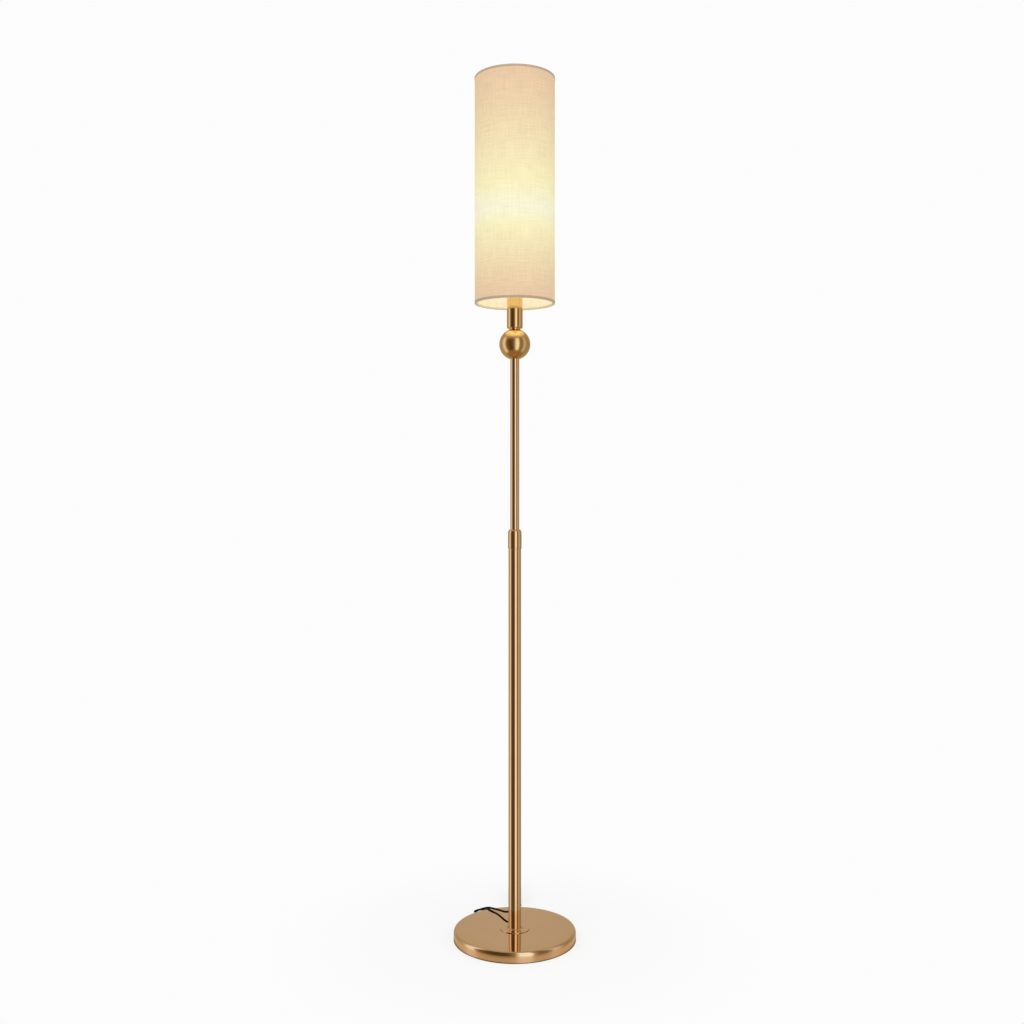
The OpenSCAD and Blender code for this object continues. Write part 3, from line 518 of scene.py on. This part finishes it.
def build_shade_ring(name, node, foot):
    """Moulded nut that grips the fitter: rounded edges and a row of finger grooves."""
    top = foot + RING_HEIGHT
    outline = [(19.62, foot + 0.3), (19.9, foot), (23.6, foot), (RING_RADIUS, foot + 0.7)]
    outline += [(RING_RADIUS, top - 0.7), (23.6, top), (19.9, top), (19.62, top - 0.3)]
    mesh = turned(outline, steps=120)
    bmesh.ops.recalc_face_normals(mesh, faces=mesh.faces)

    def on_rim(face):
        return face.calc_center_median().xy.length > (RING_RADIUS - 0.2) * MM and abs(face.normal.z) < 0.1

    def direction(face):
        middle = face.calc_center_median()
        return math.atan2(middle.y, middle.x)

    rim = sorted((face for face in mesh.faces if on_rim(face)), key=direction)
    bmesh.ops.inset_individual(mesh, faces=rim[::3], thickness=0.3 * MM, depth=-0.7 * MM)
    ring = finished(mesh, name, "head", "holder_plastic", THERMOSET)
    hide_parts(node)


def build_holder_body():
    """Moulded lampholder skirt with the rounded thread that the two rings run on."""
    foot, top, radius, pitch, root = 1318.5, 1350.5, 19.5, 2.4, 0.55
    outline = [(17.1, foot), (radius - 0.3, foot)]
    height = foot + 1.2
    while height < top - 4.0:
        outline += [(radius, height), (radius, height + 0.9)]
        outline += [(radius - root, height + 1.4), (radius - root, height + 1.9)]
        height += pitch
    outline += [(radius, top - 2.2), (radius, top - 0.8), (radius - 0.8, top), (15.3, top)]
    outline += [(14.9, top - 0.4), (14.9, top - 1.4), (17.1, top - 1.9)]
    mesh = turned(outline, steps=96)
    skirt = finished(mesh, "holder_skirt", "head", "holder_plastic", THERMOSET)
    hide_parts("holder_body")


build_base_cover()
build_foot_flange()
build_lock_collar()
build_shade_ring("grooved_ring_lower", "shade_ring_lower", 1318.5)
build_shade_ring("grooved_ring_upper", "shade_ring_upper", 1326.0)
build_holder_body()

# ---- moulded parts of the cord, in millimetres ----

OUTLET_HEIGHT = 37.5
PLUG_HEIGHT = 39.4
PLUG_SECTIONS = [  # distance along the plug, half width, half height
    (244.0, 8.2, 5.6), (246.0, 9.0, 6.1), (251.0, 11.2, 7.6), (256.0, 11.6, 7.9), (262.0, 11.0, 7.4),
    (268.0, 11.3, 7.6), (271.5, 12.5, 8.5), (275.4, 12.5, 8.5), (276.0, 12.0, 8.0),
]
GRIP_START, GRIP_END = 251.0, 268.0
STRAP_SIZE = Vector((9.9, 6.0, 32.15))
STRAP_MIDDLE = Vector((0.0, 216.2, 16.675))
STRAP_THICKNESS = 0.6
LEAD_FOOT, LEAD_TOP = 60.0, 697.7


def swung_back(mesh, height):
    """Turns a shape that was spun round the lamp's axis so that its axis runs to the back at a height."""
    to_back = Matrix.Rotation(math.radians(-90), 3, "X")
    bmesh.ops.rotate(mesh, verts=mesh.verts, cent=(0, 0, 0), matrix=to_back)
    bmesh.ops.translate(mesh, verts=mesh.verts, vec=(0, 0, height * MM))
    return mesh


def round_long_edges(mesh, radius):
    """Rounds the edges that run from front to back."""
    edges = [edge for edge in mesh.edges if abs(edge.verts[0].co.y - edge.verts[1].co.y) > 1e-6]
    bmesh.ops.bevel(
        mesh, geom=edges, offset=radius * MM, segments=5, profile=0.5, affect="EDGES", material=-1,
        clamp_overlap=True,
    )


def ribbed(start, end, thick, thin, bore, ribs=9):
    """Outline of a tapered sleeve with grooves between its ribs."""
    pitch = (end - start) / ribs
    groove = 0.5
    outline = []
    for rib in range(ribs):
        near = start + pitch * rib
        radius = thick + (thin - thick) * (rib + 0.5) / ribs
        outline += [(radius - 0.12, near), (radius, near + 0.12 * pitch), (radius, near + 0.55 * pitch)]
        if rib < ribs - 1:
            outline += [(radius - groove, near + share * pitch) for share in (0.66, 0.92)]
    outline += [(thin - 0.25, end), (bore, end), (bore, start)]
    return outline


def build_outlet_bush():
    """Soft bush in the pole's foot, with a flange outside and a ribbed sleeve over the cord."""
    outline = [(1.96, 9.5), (3.1, 9.5), (3.3, 9.7), (3.3, 11.6), (4.1, 11.6), (4.4, 12.0), (4.35, 12.6)]
    outline += [(4.0, 13.1), (3.3, 13.3)]
    outline += ribbed(13.3, 32.0, 3.25, 2.6, 1.96)[:-1]
    mesh = swung_back(turned(outline, steps=32), OUTLET_HEIGHT)
    bush = finished(mesh, "outlet_bush", "stand", "black_rubber", RUBBER)
    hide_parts("cord_outlet")


def build_pole_lead():
    """Lead inside the tubes, drawn straight; in the real lamp its slack folds up while the lamp is lowered.
    """
    radius = CORD_DIAMETER / 2
    outline = [(0, LEAD_FOOT), (radius, LEAD_FOOT), (radius, LEAD_TOP), (0, LEAD_TOP)]
    mesh = turned(outline, closed=False, steps=24)
    lead = finished(mesh, "slack_lead", "stand", "black_flex", FLEX)
    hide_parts("lead_in_pole")
    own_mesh(lead)


def build_plug_sleeve():
    """Ribbed sleeve where the cord goes into the plug."""
    mesh = swung_back(turned(ribbed(222.0, 244.0, 2.55, 4.1, 1.8), steps=32), PLUG_HEIGHT)
    sleeve = finished(mesh, "plug_sleeve", "stand", "black_rubber", RUBBER)
    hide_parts("plug_relief")
    return sleeve


def build_plug_body():
    """Moulded plug: a waist for the fingers, a rim round its face and three grip ridges on each flat side."""
    mesh = bmesh.new()
    start, end = PLUG_SECTIONS[0][0], PLUG_SECTIONS[-1][0]
    bmesh.ops.create_cube(mesh, size=1.0)
    bmesh.ops.scale(mesh, verts=mesh.verts, vec=(2 * MM, (end - start) * MM, 2 * MM))
    bmesh.ops.translate(mesh, verts=mesh.verts, vec=(0, (start + end) / 2 * MM, 0))
    for along, _, _ in PLUG_SECTIONS[1:-1]:
        geometry = mesh.verts[:] + mesh.edges[:] + mesh.faces[:]
        bmesh.ops.bisect_plane(mesh, geom=geometry, plane_co=(0, along * MM, 0), plane_no=(0, 1, 0))
    for vert in mesh.verts:
        along = vert.co.y / MM
        _, wide, tall = min(PLUG_SECTIONS, key=lambda section: abs(section[0] - along))
        vert.co.x *= wide
        vert.co.z = vert.co.z * tall + PLUG_HEIGHT * MM
    round_long_edges(mesh, 3.2)
    mesh.normal_update()

    def in_grip(face):
        middle = face.calc_center_median() / MM
        return abs(face.normal.z) > 0.9 and GRIP_START < middle.y < GRIP_END and abs(middle.x) < 3

    grip = [face for face in mesh.faces if in_grip(face)]
    bmesh.ops.inset_individual(mesh, faces=grip, thickness=1.2 * MM, depth=0.0)
    bmesh.ops.inset_individual(mesh, faces=grip, thickness=0.3 * MM, depth=-0.6 * MM)
    plug = finished(mesh, "moulded_plug", "stand", "black_rubber", RUBBER)
    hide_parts("plug_body")
    return plug


def build_strap():
    """Soft strap round the put-away cord, with rounded corners."""
    mesh = bmesh.new()
    bmesh.ops.create_cube(mesh, size=1.0)
    bmesh.ops.scale(mesh, verts=mesh.verts, vec=STRAP_SIZE * MM)
    bmesh.ops.translate(mesh, verts=mesh.verts, vec=STRAP_MIDDLE * MM)
    ends = [face for face in mesh.faces if abs(face.normal.y) > 0.5]
    bmesh.ops.delete(mesh, geom=ends, context="FACES_ONLY")
    round_long_edges(mesh, 1.8)
    bmesh.ops.recalc_face_normals(mesh, faces=mesh.faces)
    bmesh.ops.solidify(mesh, geom=mesh.faces[:], thickness=-STRAP_THICKNESS * MM)
    strap = finished(mesh, "soft_strap", "stand", "tie_wire", STRAP)
    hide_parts("hank_tie")
    return strap


build_outlet_bush()
build_pole_lead()
plug_sleeve = build_plug_sleeve()
plug_body = build_plug_body()
strap = build_strap()

cord, cord_length = build_cord()
cord.data.materials.append(FLEX)
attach(cord, "stand")
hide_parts("cord_run", "cord_hank", "cord_tail")

# ---- stage: pale floor, soft light, and a ring of cards that only reflections see; metres ----

WHITE = linear("#ffffff")
FLOOR_WHITE = 0.975  # brightness of the floor and the background in the picture
FLOOR_LIFT = 0.80  # near the lamp the floor shines less, so that its shadow shows
FLOOR_SIZE = 30.0
# Distances from the lamp's axis: where the shadow ends, the painted contact shadow along the base's rim that
# only reflections see, and the warm floor that the brass reflects
SHADOW_FADE, RIM_SHADOW, WARM_FADE = (0.14, 0.5), (0.1175, 0.126), (0.132, 0.17)
CARDS_RADIUS = 1.55
CARDS_LOW, CARDS_HIGH = -1.2, 3.2
CEILING_FADE, GROUND_FADE = (1.9, 2.7), (-0.4, -0.8)  # heights where the cards end
CEILING_LEVEL = 0.42
# Brightness of the cards round the lamp, by angle in degrees from the camera's side to the right
CARD_LEVELS = [
    (-180, 0.52), (-125, 0.42), (-106, 0.50), (-99, 0.66), (-92, 0.95), (-79, 0.95), (-72, 0.42),
    (-64, 0.20), (-50, 0.12), (-36, 0.085), (-16, 0.10), (-8, 0.16), (0, 0.30), (5, 0.70), (10, 1.08),
    (29, 1.12), (36, 0.42), (43, 0.24), (57, 0.22), (66, 0.40), (74, 0.66), (86, 0.60), (97, 0.40),
    (110, 0.34), (130, 0.40), (180, 0.52),
]


def stage_material(name):
    """Material without its Principled shader, for the floor and the cards."""
    material, tree, shader, place = new_material(name)
    tree.nodes.remove(shader)
    return material, tree, place


def stage_piece(name, mesh, material):
    """Turns a bmesh into a piece of the studio."""
    data = bpy.data.meshes.new(name)
    mesh.to_mesh(data)
    mesh.free()
    data.materials.append(material)
    piece = bpy.data.objects.new(name, data)
    bpy.context.scene.collection.objects.link(piece)
    return piece


def build_floor():
    """White floor with the lamp's soft shadow. Brass sees it warm near the base, with a painted contact
    shadow along the rim, and open further out.
    """
    material, tree, place = stage_material("studio_floor")
    away = add_node(tree, "VectorMath", {0: place}, operation="LENGTH")
    beyond_shadow, beyond_rim_shadow, open_floor = [
        add_node(
            tree, "MapRange", {"Value": away, "From Min": start, "From Max": end},
            interpolation_type="SMOOTHSTEP",
        )
        for start, end in (SHADOW_FADE, RIM_SHADOW, WARM_FADE)
    ]
    matt = add_node(tree, "BsdfDiffuse", {"Color": linear("#7c7c7c")})
    lift = add_node(tree, "Emission", {"Color": WHITE, "Strength": FLOOR_LIFT})
    lifted = add_node(tree, "AddShader", {0: matt, 1: lift})
    white = add_node(tree, "Emission", {"Color": WHITE, "Strength": FLOOR_WHITE})
    seen = add_node(tree, "MixShader", {0: beyond_shadow, 1: lifted, 2: white})
    # painted contact shadow: dark at the base's rim, warm floor further out; only reflections see it
    dark, warm = linear("#3f3527"), linear("#d4bc9e")
    contact = add_node(tree, "Mix", {0: beyond_rim_shadow, 6: dark, 7: warm}, data_type="RGBA")
    warmed = add_node(tree, "Emission", {"Color": contact, "Strength": 1.0})
    shine = add_node(tree, "BsdfGlossy", {"Color": WHITE, "Roughness": 0.3})
    near = add_node(tree, "MixShader", {0: 0.3, 1: warmed, 2: shine})
    clear = add_node(tree, "BsdfTransparent")
    mirrored = add_node(tree, "MixShader", {0: open_floor, 1: near, 2: clear})
    path = add_node(tree, "LightPath").outputs
    direct = add_node(tree, "MixShader", {0: path["Is Camera Ray"], 1: matt, 2: seen})
    surface = add_node(tree, "MixShader", {0: path["Is Glossy Ray"], 1: direct, 2: mirrored})
    fill_sockets(tree.nodes["Material Output"], {"Surface": surface})
    mesh = bmesh.new()
    bmesh.ops.create_grid(mesh, x_segments=1, y_segments=1, size=FLOOR_SIZE)
    stage_piece("studio_floor", mesh, material)


def card_colour(level):
    """Bright cards are white and dark ones brown, as wood and cloth round a studio are."""
    return (level, level**1.22, level**1.6, 1.0)


def build_cards():
    """Tall cylinder of bright and dark cards round the lamp, which only the metal sees."""
    material, tree, place = stage_material("studio_ring")
    material.cycles.emission_sampling = "NONE"
    x, y, z = add_node(tree, "SeparateXYZ", {0: place}).outputs
    front = add_node(tree, "Math", {0: y, 1: -1.0}, operation="MULTIPLY")
    angle = add_node(tree, "Math", {0: x, 1: front}, operation="ARCTAN2")
    turn = add_node(tree, "MapRange", {"Value": angle, "From Min": -math.pi, "From Max": math.pi})
    ramp = add_node(tree, "ValToRGB", {"Fac": turn})
    stops = ramp.color_ramp.elements
    while len(stops) < len(CARD_LEVELS):
        stops.new(0.5)
    for stop, (degrees, level) in zip(stops, CARD_LEVELS):
        stop.position = (degrees + 180) / 360
        stop.color = card_colour(level)
    ceiling, ground = [
        add_node(
            tree, "MapRange", {"Value": z, "From Min": start, "From Max": end},
            interpolation_type="SMOOTHSTEP",
        )
        for start, end in (CEILING_FADE, GROUND_FADE)
    ]
    walls = {0: ceiling, 6: ramp, 7: card_colour(CEILING_LEVEL)}
    above = add_node(tree, "Mix", walls, data_type="RGBA")
    colour = add_node(tree, "Mix", {0: ground, 6: above, 7: linear("#957650")}, data_type="RGBA")
    glow = add_node(tree, "Emission", {"Color": colour, "Strength": 1.0})
    fill_sockets(tree.nodes["Material Output"], {"Surface": glow})
    mesh = bmesh.new()
    bmesh.ops.create_cone(
        mesh, cap_ends=True, segments=96, radius1=CARDS_RADIUS, radius2=CARDS_RADIUS,
        depth=CARDS_HIGH - CARDS_LOW,
    )
    bmesh.ops.translate(mesh, verts=mesh.verts, vec=(0, 0, (CARDS_HIGH + CARDS_LOW) / 2))
    cards = stage_piece("studio_ring", mesh, material)
    cards.visible_camera = cards.visible_diffuse = False
    cards.visible_shadow = cards.visible_transmission = False


def build_world():
    """Soft light on the lamp, and the white that the camera, metal and glass see."""
    world = bpy.data.worlds.new("studio")
    bpy.context.scene.world = world
    world.use_nodes = True
    tree = world.node_tree
    tree.nodes.clear()
    path = add_node(tree, "LightPath").outputs
    soft = add_node(tree, "Background", {"Color": WHITE, "Strength": 0.5})
    white = add_node(tree, "Background", {"Color": WHITE, "Strength": FLOOR_WHITE})
    rays = {0: path["Is Glossy Ray"], 1: path["Is Transmission Ray"]}
    mirrored = add_node(tree, "Math", rays, operation="MAXIMUM")
    shown = add_node(tree, "Math", {0: path["Is Camera Ray"], 1: mirrored}, operation="MAXIMUM")
    surface = add_node(tree, "MixShader", {0: shown, 1: soft, 2: white})
    add_node(tree, "OutputWorld", {"Surface": surface})


def soft_light(name, place, power, size=1.8, target=(0, 0, 0.9)):
    """Square lamp aimed at the pole; reflections see the cards in its place."""
    data = bpy.data.lights.new(name, "AREA")
    data.size = size
    data.energy = power
    lamp = bpy.data.objects.new(name, data)
    lamp.location = place
    lamp.rotation_euler = (Vector(target) - Vector(place)).to_track_quat("-Z", "Y").to_euler()
    lamp.visible_glossy = False
    bpy.context.scene.collection.objects.link(lamp)


build_floor()
build_cards()
build_world()
soft_light("key", (-1.6, -2.2, 2.6), power=34.0)
soft_light("fill", (1.9, -1.8, 1.9), power=20.0)

bpy.context.scene.view_settings.view_transform = "Standard"
